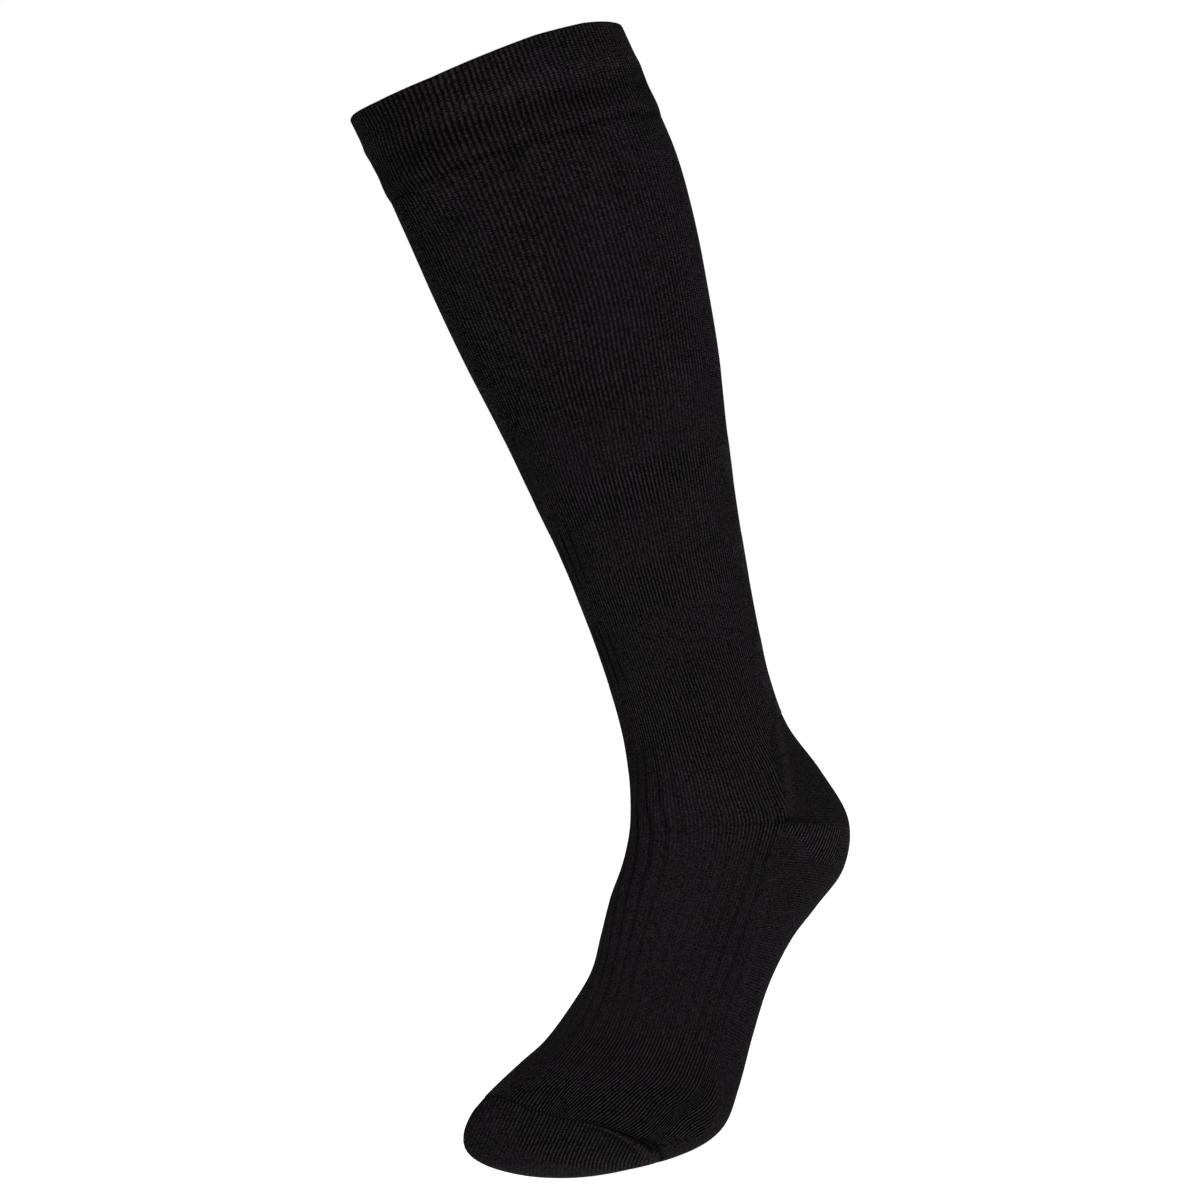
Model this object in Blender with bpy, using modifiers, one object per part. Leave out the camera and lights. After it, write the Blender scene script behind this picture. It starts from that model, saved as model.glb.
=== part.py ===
"""Compression stocking for the left leg, knee high, filled out to its worn form and hollow.

The origin is the middle of the leg opening. +Z runs up out of the opening, the toes point along -Y and
the little toe is on the +X side. The sizes below are in millimetres, and the model is in metres.

The stocking is one knitted tube. Its form is a loft through sections, each a rounded outline between a
front point and a back point. On the foot the front point is on the instep and the back point on the sole.
"""

import bpy
import bmesh
import numpy as np

MM = 0.001

# Driving sizes, mm
CUFF_DEPTH = 40.0  # the turned welt, from the opening to where the single cloth of the leg starts
CUFF_LIFT = 0.8  # the welt stands this far out over the leg
CUFF_WALL = 2.4  # two layers, because the welt is folded in
CUFF_EDGE = 0.8  # radius of the folded edge
CLOTH_WALL = 1.2  # one layer
OPENING_TILT = 4.0  # the back of the opening is this much higher than its front
JOIN_GAP = 0.4  # between neighbours' edges, along the outer face; the walls come about 0.3 apart
SEAM_RADIUS = 0.6  # half the height of the toe seam's ridge

COLUMNS = 48  # points round each ring of the tube
HEM = 0.05  # sections: a narrow first course at each edge keeps the wall square to the cloth there

RIB_BLACK = (0.009, 0.008, 0.009)
PLAIN_BLACK = (0.008, 0.007, 0.008)
SEAM_BLACK = (0.006, 0.006, 0.006)

# The leg: level sections. Height is measured from the opening.
LEG_COLUMNS = ("height", "front", "back", "half_width")
LEG = (
    (0, -64, 63, 59),
    (-27, -59, 67, 59.5),
    (-57, -55, 71, 59),
    (-87, -52, 70, 56.5),
    (-117, -48, 66, 53),
    (-147, -43, 61, 48.5),
    (-177, -39.5, 54, 43.5),
    (-207, -36, 48, 38.5),
    (-237, -34.5, 43, 34.5),
    (-267, -34.5, 38.5, 32),
)

# The ankle, heel and foot: sections that fan round the ankle and then lie across the foot.
# side: how far the middle lies to the outer side. widest: where the widest point is, from 0 at the
# front point to 1 at the back point. lean: how far the instep's ridge lies to the inner side.
# turn: how far the outer edge is set back. square: 2 is an ellipse on the sole side, more is squarer.
FOOT_COLUMNS = (
    "front_y", "front_z", "back_y", "back_z", "half_width", "side", "widest", "lean", "turn", "square",
)
FOOT = (
    (-36, -290, 36, -288, 31.5, 0, 0.50, 0, 0, 2.0),
    (-40, -306, 38, -310, 31.5, 0, 0.50, 0, 0, 2.0),
    (-46, -320, 48, -334, 31.5, 0, 0.54, 1, 0, 2.0),
    (-52, -331, 53, -359, 32.0, 0, 0.58, 2, 0, 2.1),
    (-60, -342, 39, -378, 32.5, 0, 0.58, 3, 0, 2.3),
    (-70, -353, 14, -389, 33.0, 0, 0.58, 4, 0, 2.4),
    (-79, -366, -8, -398, 34.0, 0, 0.58, 5, 0, 2.4),
    (-88, -379, -31, -412, 36.0, 0, 0.58, 6, 0, 2.4),
    (-101, -390, -53, -429, 38.5, -1, 0.58, 8, 2, 2.5),
    (-116, -399, -76, -447, 41.5, -1, 0.58, 10, 4, 2.7),
    (-129, -404, -97, -458.5, 43.5, -1, 0.58, 12, 8, 2.9),
    (-142.5, -409, -117, -460.5, 44.0, -1, 0.58, 12, 11, 2.9),
    (-151, -414, -132, -457, 41.0, -3, 0.56, 12, 12, 2.6),
    (-155, -421, -144, -450.5, 34.0, -7, 0.52, 9, 11, 2.3),
    (-157, -428, -152, -444, 22.0, -10, 0.50, 5, 8, 2.1),
    (-157, -436, -157, -436, 0.0, -12, 0.50, 0, 0, 2.0),
)

# Places along the tube, counted in sections. Whole numbers are the sections of the two tables in turn.
FIRST_FOOT = len(LEG)
GORE = FIRST_FOOT + 3.15  # the heel's gore line, and the course round the instep at its ends
HEEL_TOP = FIRST_FOOT + 0.7  # first course of the heel pocket, across the back of the ankle
HEEL_CORNER = 82.5  # degrees round from the front to the ends of the gore line
POCKET_POINT = 1.0  # degrees by which the pocket's points stop short of the corners
HEEL_FLARE = 12.0  # degrees in which the pocket's side edge runs out into its top edge
TOE_MIDDLE = FIRST_FOOT + 11.5  # the toe seam slants round the toes about this section
TOE_SLANT = 1.9
TOE_TURN = 66.0  # degrees round from the ridge to where the seam is nearest the tip
TIP = FIRST_FOOT + len(FOOT) - 1


def section_table():
    """All sections as rows with the foot table's columns, in mm."""
    rows = []
    for height, front, back, half_width in LEG:
        rows.append((front, height, back, height, half_width, 0, 0.5, 0, 0, 2.0))
    rows += FOOT
    table = np.array(rows, float)
    table[0, 1] -= OPENING_TILT / 2
    table[0, 3] += OPENING_TILT / 2
    return table


SECTIONS = section_table()


def sections_at(place):
    """The table's columns at any place along the tube, by a smooth curve through its rows."""
    slope = np.gradient(SECTIONS, axis=0)
    slope[-1, :4] = 0  # the toe ends blunt
    place = np.clip(place, 0, TIP)
    row = np.minimum(place.astype(int), TIP - 1)
    part = (place - row)[..., None]
    start, end, leave, arrive = SECTIONS[row], SECTIONS[row + 1], slope[row], slope[row + 1]
    rest = 1 - part
    return (
        start * (1 + 2 * part) * rest**2 + leave * part * rest**2
        + end * part**2 * (3 - 2 * part) - arrive * part**2 * rest
    )


def on_tube(place, degrees):
    """Points of the cloth's outer face, in mm. Degrees go from the front ridge round by the outer side."""
    place, degrees = np.broadcast_arrays(np.asarray(place, float), np.asarray(degrees, float))
    columns = np.moveaxis(sections_at(place), -1, 0)
    front_y, front_z, back_y, back_z, half_width, side, widest, lean, turn, square = columns
    angle = np.radians(degrees)
    along, across = np.cos(angle), np.sin(angle)
    power = np.where(along > 0, 2.0, square)
    reach = (np.abs(along) ** power + np.abs(across) ** power) ** (1 / power)
    along, across = along / reach, across / reach
    middle_y = front_y + widest * (back_y - front_y)
    middle_z = front_z + widest * (back_z - front_z)
    ahead = np.where(along > 0, widest, 1 - widest)
    x = side + half_width * across - lean * along
    y = middle_y + along * ahead * (front_y - back_y) + turn * across
    z = middle_z + along * ahead * (front_z - back_z)
    return np.stack([x, y, z], axis=-1)


def outward(place, degrees):
    """Unit vectors square to the cloth, pointing out."""
    ahead = on_tube(np.add(place, 0.01), degrees) - on_tube(np.subtract(place, 0.01), degrees)
    around = on_tube(place, np.add(degrees, 0.5)) - on_tube(place, np.subtract(degrees, 0.5))
    square_to = np.cross(ahead, around)
    return square_to / np.linalg.norm(square_to, axis=-1, keepdims=True)


def gap_along(edge, degrees):
    """How far along the tube, in sections, a join's half gap reaches where its edge runs at a slant."""
    here = on_tube(edge(degrees), degrees)
    ahead = np.linalg.norm(on_tube(edge(degrees) + 0.01, degrees) - here, axis=-1) / 0.01
    slants = []
    for step in (-360 / COLUMNS, 360 / COLUMNS):
        level = np.linalg.norm(on_tube(edge(degrees), degrees + step) - here, axis=-1)
        sloping = np.linalg.norm(on_tube(edge(degrees + step), degrees + step) - here, axis=-1)
        slants.append(sloping / level)
    return JOIN_GAP / 2 * np.maximum(np.max(slants, axis=0), 1) / ahead


def turn_from_front(degrees):
    """Degrees from the front ridge, the same on both sides: 0 at the front, 180 at the back."""
    return np.abs((degrees + 180) % 360 - 180)


def cuff_end(degrees):
    """The course where the welt ends: level, CUFF_DEPTH under the opening."""
    return np.full(np.shape(degrees), 1 + (CUFF_DEPTH - 27) / 30)


def leg_end(degrees):
    """The leg's lower edge: the gore's course over the instep, cut up round the heel pocket."""
    past_corner = np.maximum(turn_from_front(degrees) - HEEL_CORNER, 0)
    return HEEL_TOP + (GORE - HEEL_TOP) * np.exp(-past_corner / HEEL_FLARE)


def gore_course(degrees):
    """The course through the heel's gore line, where the foot starts."""
    return np.full(np.shape(degrees), GORE)


def toe_edge(degrees):
    """The slanting course where the toe pocket starts."""
    return TOE_MIDDLE + TOE_SLANT * np.cos(np.radians(degrees - TOE_TURN))


def knit_material(name, colour, roughness):
    material = bpy.data.materials.new(name)
    material.use_nodes = True
    shader = material.node_tree.nodes["Principled BSDF"]
    shader.inputs["Base Color"].default_value = (*colour, 1.0)
    shader.inputs["Roughness"].default_value = roughness
    shader.inputs["Metallic"].default_value = 0.0
    material.diffuse_color = (*colour, 1.0)
    return material


def add_object(collection, name, mesh, colour, roughness):
    obj = bpy.data.objects.new(name, mesh)
    obj.data.materials.append(knit_material(name, colour, roughness))
    collection.objects.link(obj)
    return obj


def grid_mesh(name, points, ring):
    """A quad mesh over rows of points in mm. A ring closes each row on itself."""
    rows, columns = points.shape[:2]
    mesh = bpy.data.meshes.new(name)
    last = columns if ring else columns - 1
    faces = [
        (
            row * columns + column,
            (row + 1) * columns + column,
            (row + 1) * columns + (column + 1) % columns,
            row * columns + (column + 1) % columns,
        )
        for row in range(rows - 1)
        for column in range(last)
    ]
    mesh.from_pydata((points.reshape(-1, 3) * MM).tolist(), [], faces)
    work = bmesh.new()
    work.from_mesh(mesh)
    bmesh.ops.remove_doubles(work, verts=work.verts, dist=0.00001)  # the tip and the pocket's corners
    bmesh.ops.dissolve_degenerate(work, edges=work.edges, dist=0.00001)
    work.to_mesh(mesh)
    work.free()
    mesh.shade_smooth()
    return mesh


def add_wall(obj, thickness):
    """Thickens an open cloth surface inwards."""
    wall = obj.modifiers.new("wall", "SOLIDIFY")
    wall.thickness = thickness * MM
    wall.offset = -1
    return wall


def courses(start, end, count, hems=2):
    """Rows between two edges, evenly spaced along each column, with a narrow one at one or both edges."""
    narrow = np.minimum(HEM, (end - start) / 4)
    inner_end = end - narrow if hems == 2 else end
    share = np.linspace(0, 1, count + 1)[:, None]
    rows = (start + narrow) * (1 - share) + inner_end * share
    return np.vstack([start, rows, end] if hems == 2 else [start, rows])


def build_cuff(collection, around):
    """The turned welt: two layers folded at the opening, standing a little out over the leg."""
    edge = cuff_end(around) - gap_along(cuff_end, around)
    place = courses(edge, np.zeros(around.size), 2, hems=1)[::-1]
    points = on_tube(place, around) + CUFF_LIFT * outward(np.maximum(place, 0.02), around)
    obj = add_object(collection, "cuff_band", grid_mesh("cuff_band", points, True), RIB_BLACK, 0.85)
    add_wall(obj, CUFF_WALL)
    fold = obj.modifiers.new("folded_edge", "BEVEL")
    fold.width = CUFF_EDGE * MM
    fold.segments = 2
    fold.limit_method = "ANGLE"
    fold.angle_limit = np.radians(60)


def build_tube(collection, name, start, end, count, around):
    """A length of the tube between two edges, each given as a function of the angle."""
    first = start(around) + gap_along(start, around)
    last = end(around) - gap_along(end, around)
    points = on_tube(courses(first, last, count), around)
    obj = add_object(collection, name, grid_mesh(name, points, True), RIB_BLACK, 0.9)
    add_wall(obj, CLOTH_WALL)


def build_heel(collection, around):
    """The plain pocket: it fills the leg's notch down to the gore line, and comes to a point at each end."""
    back = around[(around > HEEL_CORNER) & (around < 360 - HEEL_CORNER)]
    back = np.concatenate([[HEEL_CORNER + POCKET_POINT], back, [360 - HEEL_CORNER - POCKET_POINT]])
    bottom = gore_course(back) - gap_along(gore_course, back)
    top = np.minimum(leg_end(back) + gap_along(leg_end, back), bottom)
    top[[0, -1]] = bottom[[0, -1]]
    points = on_tube(courses(top, bottom, 7), back)
    mesh = grid_mesh("heel_pocket", points, False)
    obj = add_object(collection, "heel_pocket", mesh, PLAIN_BLACK, 0.9)
    add_wall(obj, CLOTH_WALL)


def build_toe(collection, around):
    """The closed toe pocket, blunt at the tip."""
    first = toe_edge(around) + gap_along(toe_edge, around)
    points = on_tube(courses(first, np.full(around.size, float(TIP)), 6, hems=1), around)
    obj = add_object(collection, "toe_cap", grid_mesh("toe_cap", points, True), PLAIN_BLACK, 0.9)
    add_wall(obj, CLOTH_WALL)


def build_toe_seam(collection, around):
    """The linked ridge that closes the toe, over the toes from side to side, resting on both pieces."""
    over = np.sort((around + 180) % 360 - 180)
    over = over[(over > -80) & (over < 165)]
    path = on_tube(toe_edge(over), over) + (SEAM_RADIUS + JOIN_GAP) * outward(toe_edge(over), over)
    curve = bpy.data.curves.new("toe_seam", "CURVE")
    curve.dimensions = "3D"
    line = curve.splines.new("POLY")
    line.points.add(len(path) - 1)
    for point, place in zip(line.points, path * MM):
        point.co = (*place, 1)
    curve.bevel_depth = SEAM_RADIUS * MM
    curve.bevel_resolution = 1
    curve.use_fill_caps = True
    add_object(collection, "toe_seam", curve, SEAM_BLACK, 0.9)


def main():
    for obj in list(bpy.data.objects):
        bpy.data.objects.remove(obj)
    collection = bpy.data.collections.new("compression_stocking")
    bpy.context.scene.collection.children.link(collection)
    around = np.arange(COLUMNS) * 360.0 / COLUMNS
    build_cuff(collection, around)
    build_tube(collection, "leg_tube", cuff_end, leg_end, 11, around)
    build_heel(collection, around)
    build_tube(collection, "foot_tube", gore_course, toe_edge, 12, around)
    build_toe(collection, around)
    build_toe_seam(collection, around)


main()
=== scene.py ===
"""Looks for a black knee-high compression stocking, filled out to its worn form.

Sizes are in millimetres in the frame's own axes. A place along the tube counts its cross sections, from
0 at the leg opening to 25 at the toes. Degrees go round from the front ridge by the outer side. A wale is
one rib of the knitting, counted from the front: 156 go round.
"""

import bmesh
import bpy
import numpy as np
from mathutils import Matrix, Vector


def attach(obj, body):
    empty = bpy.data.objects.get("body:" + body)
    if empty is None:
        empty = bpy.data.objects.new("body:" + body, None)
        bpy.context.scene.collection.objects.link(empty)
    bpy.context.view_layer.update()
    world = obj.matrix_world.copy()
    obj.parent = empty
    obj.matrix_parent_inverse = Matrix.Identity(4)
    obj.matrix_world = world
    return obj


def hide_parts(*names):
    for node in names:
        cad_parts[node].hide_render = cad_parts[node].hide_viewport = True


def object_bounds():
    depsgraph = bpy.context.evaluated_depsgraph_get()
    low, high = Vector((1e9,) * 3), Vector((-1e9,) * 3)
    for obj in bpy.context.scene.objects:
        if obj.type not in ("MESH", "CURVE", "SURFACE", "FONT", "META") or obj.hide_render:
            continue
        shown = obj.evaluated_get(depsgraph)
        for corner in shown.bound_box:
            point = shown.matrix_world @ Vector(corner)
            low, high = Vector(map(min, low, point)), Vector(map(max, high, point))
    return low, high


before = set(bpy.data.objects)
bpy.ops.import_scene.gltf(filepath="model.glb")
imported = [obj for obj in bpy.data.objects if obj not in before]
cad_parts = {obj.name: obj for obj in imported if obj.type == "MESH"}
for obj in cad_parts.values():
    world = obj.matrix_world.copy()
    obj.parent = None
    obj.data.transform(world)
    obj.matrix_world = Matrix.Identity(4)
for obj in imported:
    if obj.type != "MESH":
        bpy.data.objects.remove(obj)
cad_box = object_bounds()

MM = 0.001

# ---------------------------------------------------------------- the tube's own sizes

# Leg sections: height, front, back, half width.
LEG = (
    (0, -64, 63, 59),
    (-27, -59, 67, 59.5),
    (-57, -55, 71, 59),
    (-87, -52, 70, 56.5),
    (-117, -48, 66, 53),
    (-147, -43, 61, 48.5),
    (-177, -39.5, 54, 43.5),
    (-207, -36, 48, 38.5),
    (-237, -34.5, 43, 34.5),
    (-267, -34.5, 38.5, 32),
)
# Foot sections: front y, front z, back y, back z, half width, side, widest, lean, turn, square.
FOOT = (
    (-36, -290, 36, -288, 31.5, 0, 0.50, 0, 0, 2.0),
    (-40, -306, 38, -310, 31.5, 0, 0.50, 0, 0, 2.0),
    (-46, -320, 48, -334, 31.5, 0, 0.54, 1, 0, 2.0),
    (-52, -331, 53, -359, 32.0, 0, 0.58, 2, 0, 2.1),
    (-60, -342, 39, -378, 32.5, 0, 0.58, 3, 0, 2.3),
    (-70, -353, 14, -389, 33.0, 0, 0.58, 4, 0, 2.4),
    (-79, -366, -8, -398, 34.0, 0, 0.58, 5, 0, 2.4),
    (-88, -379, -31, -412, 36.0, 0, 0.58, 6, 0, 2.4),
    (-101, -390, -53, -429, 38.5, -1, 0.58, 8, 2, 2.5),
    (-116, -399, -76, -447, 41.5, -1, 0.58, 10, 4, 2.7),
    (-129, -404, -97, -458.5, 43.5, -1, 0.58, 12, 8, 2.9),
    (-142.5, -409, -117, -460.5, 44.0, -1, 0.58, 12, 11, 2.9),
    (-151, -414, -132, -457, 41.0, -3, 0.56, 12, 12, 2.6),
    (-155, -421, -144, -450.5, 34.0, -7, 0.52, 9, 11, 2.3),
    (-157, -428, -152, -444, 22.0, -10, 0.50, 5, 8, 2.1),
    (-157, -436, -157, -436, 0.0, -12, 0.50, 0, 0, 2.0),
)
OPENING_TILT = 4.0  # how much higher the opening is at the back than at the front
TIP = len(LEG) + len(FOOT) - 1
GORE = 13.15  # the heel's gore line, and the course round the instep at its ends
HEEL_TOP = 10.7  # first course of the heel pocket, across the back of the ankle
HEEL_CORNER = 82.5  # degrees round to the ends of the gore line
HEEL_FLARE = 12.0  # degrees in which the pocket's side edge runs out into its top edge
TOE_MIDDLE = 21.5  # the toe seam slants round the toes about this place
TOE_SLANT = 1.9  # as far as this to each side of it
TOE_TURN = 66.0  # and furthest along at this turn
CUFF_END = 1.433  # where the welt ends
CUFF_LIFT = 0.8  # how far the welt's outer layer stands over the leg
CUFF_WALL = 2.4  # both layers of the welt
CLOTH_WALL = 1.2  # one layer

# ---------------------------------------------------------------- the knitting's own sizes

WALES = 156
HALF = WALES // 2
HEEL_WALE = 39  # the wale that runs into each end of the gore line
STEPS = 4  # mesh columns to a wale, and fewer on the plain pieces
PLAIN_STEPS = 3
WALE_TURN = 2.35  # degrees from one wale to the next over the calf, about

# How far the wales are turned round the leg: place, degrees.
LEG_TWIST = (
    (0, -1),
    (1, -4.5),
    (2, -5),
    (3, -4.5),
    (4.2, -4.5),
    (5.3, -6.4),
    (6.2, -9.3),
    (6.75, -10.1),
    (7.6, -12.1),
    (8.2, -11.9),
    (9.1, -8.8),
    (9.7, -6.7),
    (10.3, -5.3),
    (11.7, -1.9),
    (12.4, -1.65),
    (GORE, 0),
)
# How far the wales waver at the front of the calf: place, wales.
CALF_WAVER = (
    (0, -0.9),
    (0.35, 0),
    (0.65, 0.1),
    (0.85, -0.5),
    (1.35, -0.6),
    (1.8, 0.6),
    (2.3, 1.8),
    (3.0, 2.0),
    (4.0, 1.1),
    (4.6, 0.5),
    (5.2, 0),
)
# How far the calf's wales are eased off an even spread at the front: wale, wales.
CALF_SPREAD = ((-75, 0), (-35, -1.5), (-10, -1.9), (5, 0), (18, 1.6), (28, 1.1), (40, 0.6), (75, 0))
# How far the foot's wales leave an even spread: place, degrees at the ridge, degrees at the sides.
FOOT_SPREAD = (
    (13.15, 0, 0),
    (13.7, 2, -3),
    (14.2, 4.5, -4.5),
    (15.0, 6.5, 0.5),
    (16.0, 7, 3.5),
    (17.0, 6.5, 6),
    (17.8, 12, 3),
    (18.5, 15, 5),
    (19.3, 18, 4),
    (19.8, 18.8, 4.5),
    (20.5, 19.5, 5),
    (25.0, 19.5, 5),
)
TOE_HOLD = 19.6  # past this place each wale keeps its degrees
TOE_FAN = 20.9  # and past this one the outer wales turn towards the sole
FAN_STILL = 40  # the turn at which they run straight on
EVEN_STEP = 0.1  # sections between the rows of the table of evenly spread wales
TIP_MARGIN = 0.02  # how near the ends of the tube its directions are still worked out
# How far the opening's edge stands up over its own level: degrees, mm.
RIM_LIFT = (
    (-180, 0),
    (-60, 1.5),
    (-25, 1.8),
    (0, 1.0),
    (30, 1.1),
    (50, 2.2),
    (75, 3.6),
    (100, 3.4),
    (125, 1.8),
    (180, 0),
)
# Contrast of the fine ribs down the leg: place, share.
RIB_BANDS = (
    (1.4, 0.45),
    (4.2, 0.5),
    (5.15, 0.6),
    (5.3, 0.42),
    (6.1, 0.42),
    (6.25, 0.9),
    (6.65, 0.9),
    (6.8, 0.5),
    (7.5, 0.5),
    (7.65, 0.95),
    (8.1, 0.95),
    (8.25, 0.55),
    (9.0, 0.55),
    (9.15, 1.0),
    (10.2, 1.1),
)
# The same on the foot and ankle: place, share over the ridge, share at 30 degrees, at 45, at 75.
FOOT_RIBS = (
    (10.2, 0.9, 1.1, 1.2, 1.1),
    (10.6, 0.5, 1.0, 1.25, 1.1),
    (11.2, 0.35, 0.65, 0.9, 0.95),
    (12.3, 0.25, 0.45, 0.6, 0.8),
    (12.9, 0.2, 0.25, 0.45, 0.85),
    (13.4, 0.15, 0.25, 0.4, 0.95),
    (13.9, 0.15, 0.15, 0.10, 0.5),
    (14.5, 0.15, 0.1, 0.1, 0.25),
    (17.8, 0.15, 0.12, 0.12, 0.2),
    (18.5, 0.2, 0.25, 0.25, 0.3),
    (18.9, 0.35, 0.6, 0.55, 0.7),
    (19.4, 0.5, 1.15, 1.15, 1.2),
    (21.0, 0.8, 1.4, 1.5, 1.5),
    (23.0, 0.8, 1.4, 1.5, 1.5),
)
# Strength of the grain of single stitches: place, share.
GRAIN = ((0, 1.0), (5.1, 1.0), (5.4, 0.4), (8, 0.3), (13, 0.3), (25, 0.3))
# Painted light and shade: how much lighter the cloth is painted than its own tone where more light falls, and darker
# where less does: place, at the front, at 45 degrees, at 90 and past it.
PAINTED_LIGHT_TABLE = (
    (0, -0.04, -0.075, -0.06),
    (1.2, -0.04, -0.075, -0.06),
    (1.6, -0.02, -0.07, -0.055),
    (4.2, -0.01, -0.065, -0.045),
    (5, -0.02, -0.055, -0.04),
    (6, 0.02, -0.02, -0.01),
    (9, 0.03, 0.0, 0.0),
    (11, 0.06, 0.04, 0.0),
    (13, 0.08, 0.05, 0.02),
    (15, 0.11, 0.05, 0.02),
    (18.5, 0.14, 0.06, 0.02),
    (20, 0.13, 0.08, 0.06),
    (21.5, 0.06, 0.03, 0.03),
    (25, 0, 0, 0),
)
# Degrees round where the ribs end and the plain sole starts: place, degrees.
SOLE_EDGE = (
    (13.15, 82),
    (13.8, 79),
    (14.4, 79),
    (15.2, 84),
    (16.0, 88.5),
    (16.8, 94),
    (17.6, 97.5),
    (18.6, 96),
    (19.2, 98),
    (19.8, 108),
    (20.6, 122),
    (22.0, 138),
)
# Depth of the wide grooves on the foot: place, over the ridge, at 25 degrees, at 42, at 60, at 75.
GROOVE_DEPTH = (
    (10.2, 0, 0, 0, 0, 0),
    (10.4, 0.55, 0.3, 0.05, 0.0, 0.0),
    (11.5, 0.65, 0.35, 0.05, 0.0, 0.05),
    (13.0, 0.7, 0.4, 0.05, 0.05, 0.3),
    (14.0, 0.7, 0.45, 0.05, 0.15, 0.5),
    (15.5, 0.7, 0.45, 0.05, 0.25, 0.4),
    (17.5, 0.65, 0.45, 0.15, 0.25, 0.35),
    (18.5, 0.5, 0.3, 0.2, 0.2, 0.3),
    (19.5, 0.3, 0.1, 0.1, 0.1, 0.2),
    (21.0, 0.1, 0.0, 0.0, 0.0, 0.0),
)
# The soft ridge along the heel pocket's front edge: place, degrees.
HEEL_RIDGE = ((10.6, 128), (10.85, 117), (11.47, 106.5), (12.03, 96), (12.69, 86), (13.1, 82))


def column(table, index, place):
    """One column of a short table at any place, by straight lines between its rows."""
    table = np.asarray(table, float)
    return np.interp(place, table[:, 0], table[:, index])


def smooth(low, high, value):
    """0 below low, 1 above high, and a smooth S between."""
    part = np.clip((np.asarray(value, float) - low) / (high - low), 0, 1)
    return part * part * (3 - 2 * part)


def hump(value, middle, width):
    """A bell, 1 at the middle and a third at one width from it."""
    return np.exp(-(((np.asarray(value, float) - middle) / width) ** 2))


def section_table():
    """All sections as rows with the foot table's columns."""
    rows = [(front, height, back, height, half, 0, 0.5, 0, 0, 2.0) for height, front, back, half in LEG]
    table = np.array(rows + list(FOOT), float)
    table[0, 1] -= OPENING_TILT / 2
    table[0, 3] += OPENING_TILT / 2
    return table


SECTIONS = section_table()
SLOPES = np.gradient(SECTIONS, axis=0)
SLOPES[-1, :4] = 0  # the toe ends blunt


def sections_at(place):
    """The table's columns at any place: a cubic through its rows with the slopes of their neighbours."""
    place = np.clip(place, 0, TIP)
    row = np.minimum(place.astype(int), TIP - 1)
    part = (place - row)[..., None]
    start, end, leave, arrive = SECTIONS[row], SECTIONS[row + 1], SLOPES[row], SLOPES[row + 1]
    rest = 1 - part
    return (
        start * (1 + 2 * part) * rest**2
        + leave * part * rest**2
        + end * part**2 * (3 - 2 * part)
        - arrive * part**2 * rest
    )


def on_tube(place, degrees):
    """Points of the cloth's outer face: round each section a circle's sine and cosine, squared off behind."""
    place, degrees = np.broadcast_arrays(np.asarray(place, float), np.asarray(degrees, float))
    columns = np.moveaxis(sections_at(place), -1, 0)
    front_y, front_z, back_y, back_z, half_width, side, widest, lean, turn, square = columns
    angle = np.radians(degrees)
    along, across = np.cos(angle), np.sin(angle)
    power = np.where(along > 0, 2.0, square)
    reach = (np.abs(along) ** power + np.abs(across) ** power) ** (1 / power)
    along, across = along / reach, across / reach
    middle_y = front_y + widest * (back_y - front_y)
    middle_z = front_z + widest * (back_z - front_z)
    ahead = np.where(along > 0, widest, 1 - widest)
    x = side + half_width * across - lean * along
    y = middle_y + along * ahead * (front_y - back_y) + turn * across
    z = middle_z + along * ahead * (front_z - back_z)
    return np.stack([x, y, z], axis=-1)


def outward(place, degrees):
    """Unit vectors square to the cloth: the cross product of its two directions."""
    place = np.clip(place, TIP_MARGIN, TIP - TIP_MARGIN)
    near, beside = 0.01, 0.5
    ahead = on_tube(place + near, degrees) - on_tube(place - near, degrees)
    around = on_tube(place, np.add(degrees, beside)) - on_tube(place, np.subtract(degrees, beside))
    square_to = np.cross(ahead, around)
    return square_to / np.linalg.norm(square_to, axis=-1, keepdims=True)


def even_table():
    """Degrees of each wale where wales are evenly spaced along the section: rows of place, columns of wale."""
    places = np.arange(0, TIP - 0.4, EVEN_STEP)
    degrees = np.linspace(0, 180, 361)
    ring = on_tube(places[:, None], degrees[None, :])
    steps = np.linalg.norm(np.diff(ring, axis=1), axis=-1)
    length = np.hstack([np.zeros((len(places), 1)), np.cumsum(steps, axis=1)])
    share = np.linspace(0, 1, HALF + 1)
    return places, np.array([np.interp(share * row[-1], row, degrees) for row in length])


EVEN_PLACES, EVEN_DEGREES = even_table()


def even_degrees(place, wale):
    """Degrees of an evenly spaced wale, read between the rows and columns of the table."""
    row = np.clip((place - EVEN_PLACES[0]) / EVEN_STEP, 0, len(EVEN_PLACES) - 1.001)
    turns, within = np.divmod(np.asarray(wale, float) + HALF, WALES)
    within = within - HALF
    col = np.clip(np.abs(within), 0, HALF - 1e-9)
    r, c = row.astype(int), col.astype(int)
    past_row, past_col = row - r, col - c
    above = EVEN_DEGREES[r, c] * (1 - past_col) + EVEN_DEGREES[r, c + 1] * past_col
    below = EVEN_DEGREES[r + 1, c] * (1 - past_col) + EVEN_DEGREES[r + 1, c + 1] * past_col
    return (above * (1 - past_row) + below * past_row) * np.sign(within) + 360 * turns


def from_front(wale):
    """A wale's count from the front, under 0 on the inner side: it wraps round at the back."""
    return (wale + HALF) % WALES - HALF


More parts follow.
